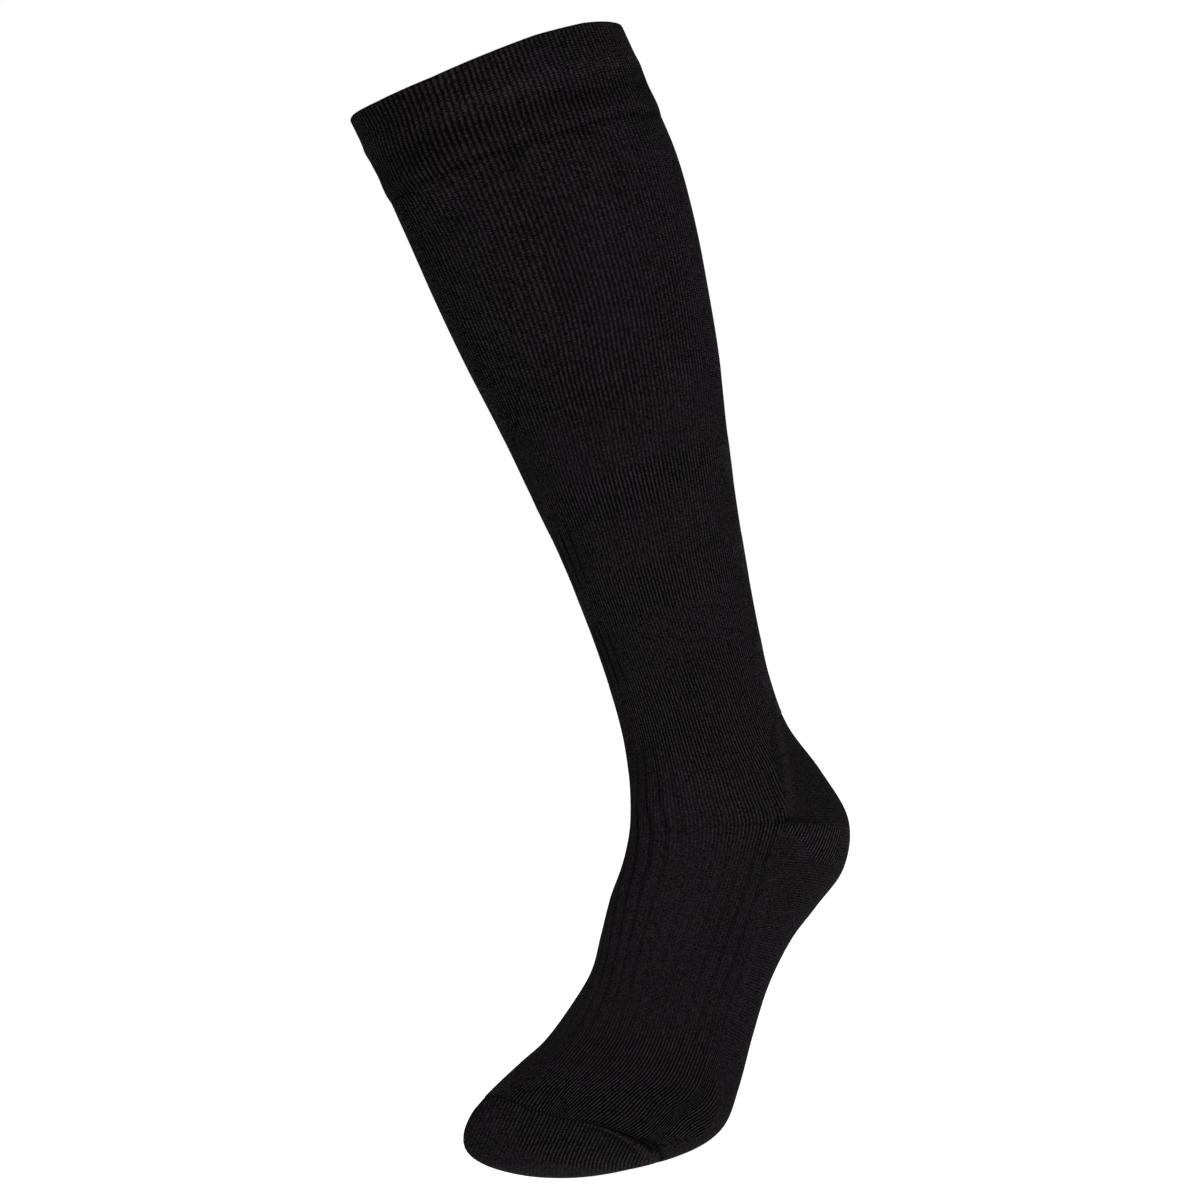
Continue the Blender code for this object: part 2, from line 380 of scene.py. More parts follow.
def wale_degrees(place, wale):
    """Degrees round of a wale at a place: an even spread, and what turns, spreads and eases it, added up.

    The foot's spread is a bell over the ridge and a square at the sides. The calf's wavering and easing
    fade out past the front. Over the toes a power of the place fans the wales out by the square of a sine.
    """
    place, wale = np.broadcast_arrays(np.asarray(place, float), np.asarray(wale, float))
    within = from_front(wale)
    ridge = column(FOOT_SPREAD, 1, place) * hump(within, 0, 45)
    side = np.minimum(np.abs(within), HALF - np.abs(within)) / HEEL_WALE
    spread = column(FOOT_SPREAD, 2, place) * np.sign(within) * side**2
    swell = 1.2 * hump(place, 0.85, 0.4) * np.clip((within - 14) / 12, -1, 1)
    at_front = smooth(-60, -15, within) * (0.5 * smooth(16, 5, within) + 0.5 * smooth(5, 0, within))
    waver = WALE_TURN * column(CALF_WAVER, 1, place) * at_front
    eased = WALE_TURN * column(CALF_SPREAD, 1, within) * smooth(5.0, 3.6, place)
    twist = column(LEG_TWIST, 1, place)
    even = even_degrees(np.minimum(place, TOE_HOLD), wale)
    degrees = even + twist + ridge + spread + swell + waver + eased
    past = np.radians(degrees - FAN_STILL)
    fan = 21 * np.maximum(place - TOE_FAN, 0) ** 1.8 * np.sign(np.sin(past)) * np.sin(past) ** 2
    return degrees + fan


def signed_turn(degrees):
    """Degrees from the front ridge, from -180 to 180, over 0 on the outer side."""
    return (np.asarray(degrees) + 180) % 360 - 180


def turn_from_front(degrees):
    """Degrees from the front ridge, the same on both sides: 0 at the front, 180 at the back."""
    return np.abs(signed_turn(degrees))


def leg_end(degrees):
    """The leg's lower edge: the gore's course over the instep, cut up round the heel pocket."""
    past_corner = np.maximum(turn_from_front(degrees) - HEEL_CORNER, 0)
    return HEEL_TOP + (GORE - HEEL_TOP) * np.exp(-past_corner / HEEL_FLARE)


def toe_edge(degrees):
    """The slanting course where the toe pocket starts."""
    return TOE_MIDDLE + TOE_SLANT * np.cos(np.radians(degrees - TOE_TURN))


def toe_line(degrees):
    """The linked line itself: the slanting course, bowed a little further over the outer toes."""
    return toe_edge(degrees) + seam_shift(degrees)


def crossing(edge, wale, low, high):
    """The place where each wale meets an edge given by degrees, by halving the interval."""
    low, high = np.full(wale.shape, float(low)), np.full(wale.shape, float(high))
    for _ in range(30):
        middle = (low + high) / 2
        before = middle < edge(wale_degrees(middle, wale))
        low, high = np.where(before, middle, low), np.where(before, high, middle)
    return (low + high) / 2


# ---------------------------------------------------------------- the surface of the knit

ANKLE = 10.2  # above this place the leg's rib bands hold, and below it the foot's tables
RIB_HEIGHT = ((0, 0.42), (5, 0.40), (9, 0.22), (12, 0.14), (17, 0.12), (21, 0.2))  # place, mm
GROOVE_ON_LEG, GROOVE_ON_FOOT = 0.36, 0.22  # how deep the wide grooves are, mm
# Wide-ribbed blocks down the shin: the places where each starts, is full, starts to fade and is gone.
SHIN_BLOCKS = ((5.25, 5.4, 6.1, 6.3), (6.7, 6.85, 7.5, 7.65), (8.15, 8.3, 9.0, 9.15))
# How far the wide grooves lie off their wales: place, wales on the shin, and share of the drift on the ankle.
SHIN_DRIFT = ((6.3, -0.35), (6.65, 3.2), (7.65, 3.2), (8.1, 4.25))
ANKLE_DRIFT = ((10.3, 1.0), (12.0, 0.8), (GORE, 0.0))
JOIN = 1.487  # where the leg hangs from the welt


def uneven(count, speed, phase):
    """Slow, uneven waves along a count: three sines whose lengths share no common measure."""
    return (
        np.sin(count * speed + phase)
        + 0.7 * np.sin(count * speed * 1.618 + phase * 2.3)
        + 0.5 * np.sin(count * speed * 2.73 + phase * 0.7)
    ) / 2.2


def jitter(wale):
    """A value from -1 to 1 that differs from wale to wale: the sine of a large angle times the whole count."""
    return np.sin(np.floor(wale) * 12.9898)


def fine_rib(wale):
    """Height of the ribs from -1 in the grooves, on whole counts, to 1 on the ribs between: a cosine."""
    return -np.cos(2 * np.pi * wale)


def groove_wale(place, wale):
    """The count along which the wide grooves lie: the wale less its drift, and over the ankle no twist."""
    place = np.asarray(place)
    untwisted = wale + column(LEG_TWIST, 1, place) / 2.6
    drift = -3.6 + 0.147 * np.clip(np.abs(untwisted), 0, 40)
    over_ankle = untwisted - column(ANKLE_DRIFT, 1, place) * drift - 0.5
    return np.where(place < ANKLE, wale - column(SHIN_DRIFT, 1, place), over_ankle)


def wide_groove(count):
    """1 in the middle of a wide groove, on every fourth count, and 0 between: bells half a count wide."""
    return hump((np.asarray(count) + 2) % 4 - 2, 0, 0.5)


def across_table(table, degrees, place, turn):
    """A table's value at a place and a turn from the front: straight lines along, then round, between its columns."""
    value = column(table, 1, place)
    for index in range(1, len(degrees)):
        share = np.clip((turn - degrees[index - 1]) / (degrees[index] - degrees[index - 1]), 0, 1)
        value = value + share * (column(table, index + 1, place) - column(table, index, place))
    return value


def shin_grooves(place, wale):
    """The depth of the shin's wide grooves, and what they leave of the fine ribs, both by smooth steps.

    The blocks' ends are ragged. The first block is shallower and ends nearer the front.
    """
    ragged = place + 0.12 * uneven(wale, 1.7, 2.0)
    block = sum(smooth(start, full, ragged) * smooth(gone, fade, ragged) for start, full, fade, gone in SHIN_BLOCKS)
    first = smooth(6.5, 6.3, place)
    over_shin = smooth(-14, -7, wale) * smooth(9 - 7 * first, 0 - 3 * first, wale)
    return (1 - 0.6 * first) * block * over_shin, 1 - 0.5 * block * over_shin


def cuff_join(place, wale, turn):
    """The ragged line under the welt, a groove painted with shade, and the edges beside it painted with highlights:
    bells whose middle strays.
    """
    join = JOIN + 0.012 * uneven(wale, 0.35, 1.0) + 0.008 * jitter(wale)
    join = join - 0.06 * smooth(92, 120, turn)
    strokes = np.clip(0.6 + 0.55 * uneven(wale, 0.31, 4.0) + 0.25 * fine_rib(wale + 0.5), 0.03, 1)
    line = hump(place, join, 0.038) * strokes * (1 - 0.7 * smooth(60, 110, turn))
    return line, hump(place, join + 0.05, 0.025) + hump(place, join - 0.04, 0.02)


def seam_weight(signed):
    """How strong the seam is round the toes, in its dent's depth, its painted shade and the bead's thickness: faint
    over the big toe, full at the outer corner.
    """
    return 0.3 * smooth(-35, 5, signed) + 0.7 * smooth(40, 85, signed)


def seam_dent(place, wale, degrees):
    """The uneven dent along the linked seam, painted with shade as well, and the gather at its outer corner, painted
    shade only: bells off its line.
    """
    beyond, signed = place - toe_line(degrees), signed_turn(degrees)
    at_toe = place > 16
    near_seam = hump(beyond, 0, 0.07) * at_toe * np.clip(0.65 + 0.5 * uneven(wale, 1.9, 1.0), 0.1, 1)
    gathered = hump(beyond, -0.04, 0.06) * at_toe * smooth(86, 98, signed) * smooth(142, 132, signed)
    return near_seam * seam_weight(signed), gathered


def short_ribs(place, wale):
    """How strong the short ribs are that slant forward from the gore line under the heel."""
    wale = np.abs(wale)
    start = GORE + 0.12 * smooth(48, 57, wale)
    end = GORE + 0.27 + 0.7 * smooth(42, 54, wale)
    strength = smooth(start, start + 0.05, place) * smooth(end + 0.12, end - 0.05, place)
    return strength * smooth(38.5, 41, wale) * smooth(62, 56, wale)


def front_contrast(place, signed):
    """How much stronger the ribs are where the calf turns away at the front, in height on the leg and in the painted
    shade between them: 1 elsewhere.
    """
    return 1 + 0.6 * smooth(22, -20, signed) * smooth(-110, -60, signed) * smooth(5.6, 4.8, place)


def heel_ridge(place, turn):
    """A soft ridge, 1 along its line of places and degrees, and 0 a few millimetres from it."""
    line = column(HEEL_RIDGE, 1, place)
    return hump(turn, line, 3.2) * smooth(10.62, 10.8, place) * smooth(13.1, 12.8, place)


def painted_heel_pucker(place, turn):
    """The drawn-in corner at the end of the gore line, painted only: a soft painted shade of a dent above it, and a
    painted light patch under it.
    """
    dent = hump(place, 13.08, 0.12) * smooth(77, 82, turn) * smooth(96, 84, turn)
    light = hump(place, 13.4, 0.14) * hump(turn, 82, 4.0)
    return 0.1 * light - 0.17 * dent


def seam_shift(degrees):
    """How far the linked line strays beyond its even slant over the toes, in sections: a bell."""
    return 0.27 * hump(signed_turn(degrees), 34, 34)


# What the materials read at each point, and its value on the inner face, whose shade is painted a little darker.
LINING = {"rib": 0.5, "groove": 0.0, "plain": 0.0, "shade": -0.05, "grain": 0.8, "slant": 0.0}


def marks_of(place, **given):
    """The marks of a surface: the given ones, and 0 for the others."""
    return {mark: given.get(mark, 0) + np.zeros(place.shape) for mark in LINING}


def knit_relief(place, wale, degrees):
    """The ribbed cloth: its height over the plain tube in mm, and its marks.

    The fine ribs are a cosine across the wales, and grooves, lines, dents and ridges are added to it.
    """
    place, wale, degrees = np.broadcast_arrays(place, wale, degrees)
    turn, signed, within = turn_from_front(degrees), signed_turn(degrees), from_front(wale)
    on_foot = place > ANKLE
    edge = column(SOLE_EDGE, 1, place)
    sole = smooth(-1.5, 2.5, turn - edge) * (place > GORE - 0.01)
    rib = np.where(on_foot, across_table(FOOT_RIBS, (0, 30, 45, 75), place, turn), column(RIB_BANDS, 1, place))
    rib = rib * (1 - sole) * front_contrast(place, signed)
    shin_depth, left = shin_grooves(place, within)
    foot_depth = across_table(GROOVE_DEPTH, (0, 25, 42, 60, 75), place, turn) * (1 - sole)
    depth = np.where(on_foot, foot_depth, shin_depth)
    groove = wide_groove(groove_wale(place, within)) * depth
    rib = rib * np.where(on_foot, 1, left)
    edge_line = hump(turn, edge + 4.5, 2.0) * smooth(13.6, 14.6, place) * smooth(18.6, 17.6, place)
    line, light = cuff_join(place, wale, turn)
    near_seam, gathered = seam_dent(place, wale, degrees)
    ridge = heel_ridge(place, turn)
    waves = column(RIB_HEIGHT, 1, place) * (0.35 + 0.65 * rib) * rib**0.5 * fine_rib(wale)
    height = waves - np.where(on_foot, GROOVE_ON_FOOT, GROOVE_ON_LEG) * groove + 0.1 * depth
    height = height + 0.3 * edge_line - 0.3 * line - 0.25 * near_seam + 0.5 * ridge
    # Painted light and shade: highlights beside the welt's join, on the sole's edge line and along the heel's ridge;
    # shade in the join's groove, the seam's dent and its gather.
    shade = 0.08 * light - 0.5 * line + 0.08 * edge_line - 0.2 * near_seam - 0.35 * gathered + 0.12 * ridge
    # The heel corner's painted shade and light, and the painted light and shade by place and turn from the table.
    shade = shade + painted_heel_pucker(place, turn) + across_table(PAINTED_LIGHT_TABLE, (0, 45, 90), place, turn)
    short = short_ribs(place, within)
    plain, grain = sole * (1 - 0.9 * short), column(GRAIN, 1, place)
    return height, marks_of(place, rib=rib, groove=groove, plain=plain, shade=shade, grain=grain, slant=short)


# ---------------------------------------------------------------- meshes

MERGE = 0.000002  # points nearer than this are one point, in metres
HAIR = 0.0001  # half the hairline between neighbouring pieces, in sections
SEAM_GAP = 0.012  # half the gap that the linked seam fills, in sections
# Courses counted from the opening, one to a millimetre down the side: place, course.
COURSE_TABLE = ((0, 0), (1, 27), (10, 290), (13.15, 358), (16, 415), (21, 520), (25, 570))


def link(name, data):
    """A mesh, light or camera put in the scene."""
    obj = bpy.data.objects.new(name, data)
    bpy.context.scene.collection.objects.link(obj)
    return obj


def weld(mesh, turn_out=False):
    """Merges a mesh's doubles and drops faces without area, then turns its faces outwards if asked."""
    work = bmesh.new()
    work.from_mesh(mesh)
    bmesh.ops.remove_doubles(work, verts=work.verts, dist=MERGE)
    bmesh.ops.dissolve_degenerate(work, edges=work.edges, dist=MERGE)
    if turn_out:
        bmesh.ops.recalc_face_normals(work, faces=work.faces)
    work.to_mesh(mesh)
    work.free()


def lay_uv(mesh, layer, values, corners):
    """Writes a UV map: values by row and column, picked at the corners of each face."""
    picked = np.stack([values[row, col] for row, col in corners], axis=2)
    mesh.uv_layers.new(name=layer).data.foreach_set("uv", picked.reshape(-1).astype(np.float32))


def closed_skin(name, rows, ring, marks, uv, bake, creased=()):
    """A mesh from a grid of points whose last row joins its first, and on a ring its last column too.

    rows: points in mm by row and column. marks: point values by name. uv: knit counts by row and column,
    with one more row than the points, and one more column on a ring. bake: the same for the flat layout.
    creased: rows whose strip to the next is the cloth's cut edge, shaded flat.
    """
    count, columns = rows.shape[:2]
    mesh = bpy.data.meshes.new(name)
    last = columns if ring else columns - 1
    r, c = np.meshgrid(np.arange(count), np.arange(last), indexing="ij")
    below, beside = (r + 1) % count, (c + 1) % columns
    faces = np.stack([r * columns + c, below * columns + c, below * columns + beside, r * columns + beside], axis=-1)
    faces = faces.reshape(-1, 4)
    mesh.vertices.add(count * columns)
    mesh.vertices.foreach_set("co", (rows.reshape(-1) * MM).astype(np.float32))
    mesh.loops.add(faces.size)
    mesh.loops.foreach_set("vertex_index", faces.reshape(-1).astype(np.int32))
    mesh.polygons.add(len(faces))
    mesh.polygons.foreach_set("loop_start", np.arange(0, faces.size, 4, dtype=np.int32))
    mesh.polygons.foreach_set("use_smooth", ~np.isin(r.reshape(-1), creased))
    mesh.update(calc_edges=True)
    corners = ((r, c), (r + 1, c), (r + 1, c + 1), (r, c + 1))
    lay_uv(mesh, "OFBake", bake, corners)
    lay_uv(mesh, "knit", uv, corners)
    for mark, values in marks.items():
        attribute = mesh.attributes.new(mark, "FLOAT", "POINT")
        attribute.data.foreach_set("value", values.reshape(-1).astype(np.float32))
    weld(mesh)
    return link(name, mesh)


def wrapped(values, ring=True):
    """A grid with its first row again after its last, and on a ring its first column too."""
    values = np.concatenate([values, values[:1]])
    return np.concatenate([values, values[:, :1]], axis=1) if ring else values


def courses(place):
    """The course at a place: straight lines between the table's rows."""
    return column(COURSE_TABLE, 1, place)


def knit_counts(edges, places):
    """Wale and course at each corner of the grid."""
    return np.stack([np.broadcast_to(edges, places.shape), courses(places)], axis=-1)


def flat_layout(edges, up):
    """Where each corner lies in the flat layout, from 0 to 1: even across, and as given up it."""
    across = np.linspace(0.01, 0.99, edges.size)
    return np.stack(np.broadcast_arrays(across[None, :], up[:, None]), axis=-1)


def build_skin(name, outer_place, inner_place, wales, ring, relief, hold=TIP, counts=None):
    """A cloth wall: the outer grid with its relief, then the inner one back again, closed at both edges.

    outer_place and inner_place are places by row and column. relief gives the height in mm and the marks.
    Past the place hold, each column keeps its degrees. counts gives the knit counts at points, where they
    aren't those of wale and course.
    """
    wale = wales[None, :]
    outer_degrees = wale_degrees(np.minimum(outer_place, hold), wale)
    inner_degrees = wale_degrees(np.minimum(inner_place, hold), wale)
    height, outer_marks = relief(outer_place, np.broadcast_to(wale, outer_place.shape), outer_degrees)
    outer = on_tube(outer_place, outer_degrees) + height[..., None] * outward(outer_place, outer_degrees)
    inner = on_tube(inner_place, inner_degrees) - CLOTH_WALL * outward(inner_place, inner_degrees)
    rows = np.concatenate([outer, inner[::-1]])
    marks = {
        mark: np.concatenate([values, np.full(inner_place.shape, LINING[mark])])
        for mark, values in outer_marks.items()
    }
    edges = np.append(wales, wales[-1] + wales[1] - wales[0]) if ring else wales
    if counts is None:
        uv = knit_counts(edges, wrapped(np.concatenate([outer_place, inner_place[::-1]]), ring))
    else:
        uv = counts(wrapped(rows))
    first, second = len(outer_place), len(inner_place)
    up = np.concatenate([np.linspace(0.98, 0.3, first), np.linspace(0.28, 0.04, second), [0.02]])
    return closed_skin(name, rows, ring, marks, uv, flat_layout(edges, up), (first - 1, first + second - 1))


def ring_of_wales(steps):
    """Wale counts all the way round, at even steps within each wale."""
    return np.arange(-HALF * steps, HALF * steps) / steps


def spread_rows(start, end, count):
    """Rows of places spaced evenly along each column between two edges."""
    share = np.linspace(0, 1, count + 1)[:, None]
    return start * (1 - share) + end * share


def cuff_edge(wales):
    """The course where the welt ends and the leg starts: level all round."""
    return np.full(wales.shape, CUFF_END)


def build_leg():
    """The ribbed leg, from the welt to the gore's course, with the heel's notch behind.

    Rows are level down to the ankle, and below it they follow the lower edge.
    """
    wales = ring_of_wales(STEPS)
    end = crossing(leg_end, wales, 10.3, GORE + HAIR) - HAIR
    start = cuff_edge(wales) + HAIR
    level = np.full(wales.shape, 10.15)
    outer = np.vstack([spread_rows(start, level, 86), spread_rows(level, end, 30)[1:]])
    inner = np.vstack([spread_rows(start, level, 16), spread_rows(level, end, 14)[1:]])
    return build_skin("leg", outer, inner, wales, True, knit_relief)


def build_foot():
    """The ribbed instep and plain sole, from the gore's course to the toe seam."""
    wales = ring_of_wales(STEPS)
    start = np.full(wales.shape, GORE + HAIR)
    end = crossing(toe_line, wales, 17, TIP) - SEAM_GAP
    return build_skin("foot", spread_rows(start, end, 90), spread_rows(start, end, 34), wales, True, knit_relief)


def heel_relief(place, wale, degrees):
    """The heel pocket's plain knit: the ridge along its front edge, and the drawn-in corners, as bells."""
    place, wale, degrees = np.broadcast_arrays(place, wale, degrees)
    turn = turn_from_front(degrees)
    off = (place - leg_end(degrees)) * 23 * np.clip((turn - 80) / 30, 0.12, 1)
    ridge = heel_ridge(place, turn)
    dark = hump(off, 0.0, 0.7) + 0.5 * hump(place, GORE, 0.05) * smooth(125, 88, turn)
    height = 0.5 * ridge - 0.15 * dark
    # Painted highlight on the ridge, painted shade in the crease along the pocket's edge and the gore, the heel
    # corner's painted shade and light, and darker towards the back.
    shade = 0.16 * ridge - 0.1 * dark + painted_heel_pucker(place, turn) - 0.06 * smooth(86, 96, turn)
    return height, marks_of(place, plain=0.35, shade=shade, grain=0.3)


def build_heel():
    """The plain heel pocket: from its upper edge, up behind the ankle, down to the gore line."""
    wales = np.arange(HEEL_WALE * PLAIN_STEPS, (WALES - HEEL_WALE) * PLAIN_STEPS + 1) / PLAIN_STEPS
    bottom = np.full(wales.shape, GORE - HAIR)
    top = np.minimum(crossing(leg_end, wales, 10.3, GORE) + HAIR, bottom)
    top[[0, -1]] = bottom[[0, -1]]
    return build_skin("heel", spread_rows(top, bottom, 40), spread_rows(top, bottom, 18), wales, False, heel_relief)


# ---------------------------------------------------------------- the welt

WELT_ROWS, FOLD_ROWS, LINING_ROWS = 26, 7, 12
FIRST_FALL = 27  # mm from the first section down to the second


def cuff_relief(place, wale, degrees):
    """The welt's ribs, a cosine, the soft bulge and dip of its turned layer, and a step down to the leg."""
    place, wale, degrees = np.broadcast_arrays(place, wale, degrees)
    signed = signed_turn(degrees)
    wander = 0.05 * uneven(wale, 0.11, 0.5)
    bulge = hump(place, 0.62 + wander, 0.11) * (0.75 + 0.25 * uneven(wale, 0.17, 2.0))
    dip = hump(place, 0.98 - wander, 0.14) * (0.7 + 0.3 * uneven(wale, 0.13, 3.1))
    height = 0.17 * fine_rib(wale) + CUFF_LIFT * smooth(CUFF_END + 0.02, CUFF_END - 0.16, place) ** 0.7
    height = height + 0.5 * bulge - 0.4 * dip
    line = hump(place, CUFF_END, 0.012) * np.clip(0.6 + 0.6 * uneven(wale, 0.9, 4.0), 0.1, 1)
    wave = 0.5 + 0.5 * uneven(wale, 0.23, 1.0) * np.cos(place * 7 + wale * 0.05)
    rib = (0.42 + 0.2 * wave) * front_contrast(place, signed)
    # Painted light on the bulge, painted shade in the dip and along the welt's end, painted shade towards the front
    # and inner side where less light falls, and a lighter band above the step.
    shade = 0.12 * bulge - 0.12 * dip - 0.2 * line - 0.05 * smooth(40, 0, signed) + 0.05 * hump(place, 1.3, 0.05)
    return height, marks_of(place, rib=rib, shade=shade, grain=smooth(0, 0.15, place))


def rim_lift(place, degrees):
    """How far the cloth near the opening stands up, in mm: the table's value, fading down the welt."""
    return column(RIM_LIFT, 1, signed_turn(degrees)) * smooth(1.0, 0, place)


def welt_face(place, degrees, height):
    """Points of the welt at a height over the tube in mm, with the opening's edge lifted."""
    points = on_tube(place, degrees) + height[..., None] * outward(place, degrees)
    points[..., 2] += rim_lift(place, degrees)
    return points


def build_welt():
    """The turned welt: an outer layer, half a circle over the fold at the opening, and the inner layer."""
    wales = ring_of_wales(STEPS)
    wale = wales[None, :]
    radius = CUFF_WALL / 2
    top = radius / FIRST_FALL
    bottom = cuff_edge(wales)[None, :] - HAIR
    share = np.linspace(0, 1, WELT_ROWS)[:, None]
    down = bottom * (1 - share) + top * share
    degrees = wale_degrees(down, wale)
    height, layer_marks = cuff_relief(down, np.broadcast_to(wale, down.shape), degrees)
    layer = welt_face(down, degrees, height)
    arc = np.radians(np.linspace(0, 180, FOLD_ROWS + 2)[1:-1])[:, None]
    over = top * (1 - np.sin(arc)) * np.ones(wale.shape)
    ribs = 0.14 * fine_rib(wale) * np.maximum(np.cos(arc), 0)
    fold = welt_face(over, wale_degrees(over, wale), (CUFF_LIFT - radius) + radius * np.cos(arc) + ribs)
    share = np.linspace(0, 1, LINING_ROWS)[:, None]
    up = top * (1 - share) + bottom * share
    lining = welt_face(up, wale_degrees(up, wale), np.full(up.shape, CUFF_LIFT - CUFF_WALL))
    rows = np.concatenate([layer, fold, lining])
    marks = {
        mark: np.concatenate([values, np.broadcast_to(values[-1], over.shape), np.full(up.shape, LINING[mark])])
        for mark, values in layer_marks.items()
    }
    edges = np.append(wales, HALF)
    uv = knit_counts(edges, wrapped(np.concatenate([down, over, up])))
    shares = [np.linspace(0.04, 0.5, WELT_ROWS), np.linspace(0.51, 0.56, FOLD_ROWS)]
    shares += [np.linspace(0.58, 0.96, LINING_ROWS), [0.98]]
    bake = flat_layout(edges, np.concatenate(shares))
    turned = {mark: values[::-1] for mark, values in marks.items()}
    return closed_skin("welt", rows[::-1], True, turned, uv[::-1], bake[::-1], (len(rows) - 1,))


# ---------------------------------------------------------------- the toe

ACROSS_TOE_RIBS = (0.610, 0.727, -0.314)  # the toe pocket's ribs lie square to this direction
ALONG_TOE_RIBS = (0.202, 0.240, 0.949)  # and run down this one
TOE_RIB = 1.62  # mm from one of them to the next
TOE_LEAN = 0.466  # how far they lean for each mm down
TOE_LEAN_END = 459.0  # mm down from the opening where they stop leaning


def toe_counts(points):
    """The toe pocket's rib and course counts at points in mm: how far across and how far down they are.

    Above the lean's end the ribs lean: a hyperbola, sqrt(gap^2 + 9), smooths the bend.
    """
    down = -(points @ np.array(ALONG_TOE_RIBS))
    gap = TOE_LEAN_END - down
    lean = TOE_LEAN * (gap + np.sqrt(gap**2 + 9)) / 2
    return np.stack([(points @ np.array(ACROSS_TOE_RIBS) - lean) / TOE_RIB, down], axis=-1)


def toe_relief(place, wale, degrees):
    """The toe pocket: ribs fading under the linked line and strong again over the end, and the gathered corner.

    Cord, fold, ticks and bulge of the gather are bells off the linked line, between two turns.
    """
    place, wale, degrees = np.broadcast_arrays(place, wale, degrees)
    counts = toe_counts(on_tube(place, degrees))
    signed = signed_turn(degrees)
    beyond = place - toe_line(degrees)
    strength = 1 - 0.6 * hump(counts[..., 1], 460, 3.5) * smooth(95, 60, signed)
    strength = strength * (0.3 + 0.7 * smooth(-20, 30, signed))
    at_gather = smooth(84, 97, signed) * smooth(146, 136, signed)
    over = 0.14 + 0.0057 * np.clip(signed - 92, 0, 50)  # the gathered cord leaves the line towards the corner
    cord = hump(beyond, over, 0.06) * at_gather * (0.7 + 0.3 * np.cos(signed * 1.3))
    fold = hump(beyond, over / 2 - 0.05, 0.06) * at_gather
    ticks = hump(beyond, over + 0.17, 0.07) * at_gather * (0.5 + 0.5 * np.cos(signed * 1.6))
    bulge = hump(beyond, 0.2, 0.16) * hump(signed, 148, 9)
    smoothed = np.clip(0.55 * hump(signed, 112, 26) * hump(beyond, 0.4, 0.6) + cord + fold + bulge, 0, 1)
    strength = strength * (1 - 0.9 * smoothed)
    near_seam = hump(beyond, 0, 0.07) * seam_weight(signed)
    waves = 0.15 * fine_rib(counts[..., 0]) * strength
    height = waves + 0.8 * cord - 0.5 * fold - 0.2 * near_seam + 0.3 * bulge - 0.2 * ticks
    # Painted light on the raised cord and bulge, painted shade in the fold, the ticks and the seam's dent, and a
    # small even lift of the tone.
    shade = 0.03 + 0.2 * cord - 0.42 * fold - 0.12 * near_seam - 0.34 * ticks + 0.1 * bulge
    return height, marks_of(place, rib=strength, plain=0.1, shade=shade, grain=0.3)


def build_toe():
    """The closed toe pocket, blunt at the tip."""
    wales = ring_of_wales(PLAIN_STEPS)
    start = crossing(toe_line, wales, 17, TIP) + SEAM_GAP
    end = np.full(wales.shape, float(TIP))
    outer, inner = spread_rows(start, end, 60), spread_rows(start, end, 24)
    return build_skin("toe", outer, inner, wales, True, toe_relief, start, toe_counts)


SEAM_FROM, SEAM_TO, SEAM_RINGS = -78, 150, 242  # degrees at the seam's two ends, and rings of points along it


def build_seam():
    """The linked seam over the toes: circles along the linked line, a cosine of which every third is thick."""
    degrees = np.linspace(SEAM_FROM, SEAM_TO, SEAM_RINGS)
    out = outward(toe_line(degrees), degrees)
    path = on_tube(toe_line(degrees), degrees) - 0.12 * out
    ahead = np.gradient(path, axis=0)
    ahead /= np.linalg.norm(ahead, axis=1, keepdims=True)
    side = np.cross(ahead, out)
    side /= np.linalg.norm(side, axis=1, keepdims=True)
    out = np.cross(side, ahead)
    turn = np.radians(np.arange(12) * 30)[None, :, None]
    ends = np.sqrt(np.clip(1 - np.abs(np.linspace(-1, 1, SEAM_RINGS)) ** 40, 0, 1))
    loops = 1 + 0.18 * np.cos(np.arange(SEAM_RINGS) * 2 * np.pi / 3)
    radius = ((0.2 + 0.1 * seam_weight(degrees)) * ends * loops)[:, None, None]
    points = path[:, None, :] + radius * (np.cos(turn) * side[:, None, :] + np.sin(turn) * out[:, None, :])
    rows, columns = points.shape[:2]
    mesh = bpy.data.meshes.new("toe_seam_bead")
    r, c = np.meshgrid(np.arange(rows - 1), np.arange(columns), indexing="ij")
    beside = (c + 1) % columns
    faces = [r * columns + c, r * columns + beside, (r + 1) * columns + beside, (r + 1) * columns + c]
    faces = np.stack(faces, axis=-1).reshape(-1, 4)
    mesh.from_pydata((points.reshape(-1, 3) * MM).tolist(), [], faces.tolist())
    corners = ((r, c), (r, c + 1), (r + 1, c + 1), (r + 1, c))
    counts = np.stack(np.meshgrid(np.arange(rows), np.arange(columns + 1), indexing="ij"), axis=-1)
    lay_uv(mesh, "OFBake", counts * (0.96 / rows, 0.9 / columns) + 0.01, corners)
    lay_uv(mesh, "knit", counts * (0.25, 0.25) + 0.01, corners)
    for mark in LINING:
        mesh.attributes.new(mark, "FLOAT", "POINT").data.foreach_set("value", np.zeros(rows * columns, np.float32))
    weld(mesh, turn_out=True)
    mesh.shade_smooth()
    return link("toe_seam_bead", mesh)


# ---------------------------------------------------------------- materials


class Socket:
    """A node's output in a shader sum: + - * and abs() add Math nodes."""

    def __init__(self, paint, socket):
        self.paint, self.socket = paint, socket

    def _with(self, operation, other, swapped=False):
        pair = (other, self) if swapped else (self, other)
        return self.paint.math(operation, *pair)

    def __add__(self, other):
        return self._with("ADD", other)

    __radd__ = __add__

    def __sub__(self, other):
        return self._with("SUBTRACT", other)

    def __rsub__(self, other):
        return self._with("SUBTRACT", other, True)

    def __mul__(self, other):
        return self._with("MULTIPLY", other)

    __rmul__ = __mul__

    def __abs__(self):
        return self.paint.math("ABSOLUTE", self)


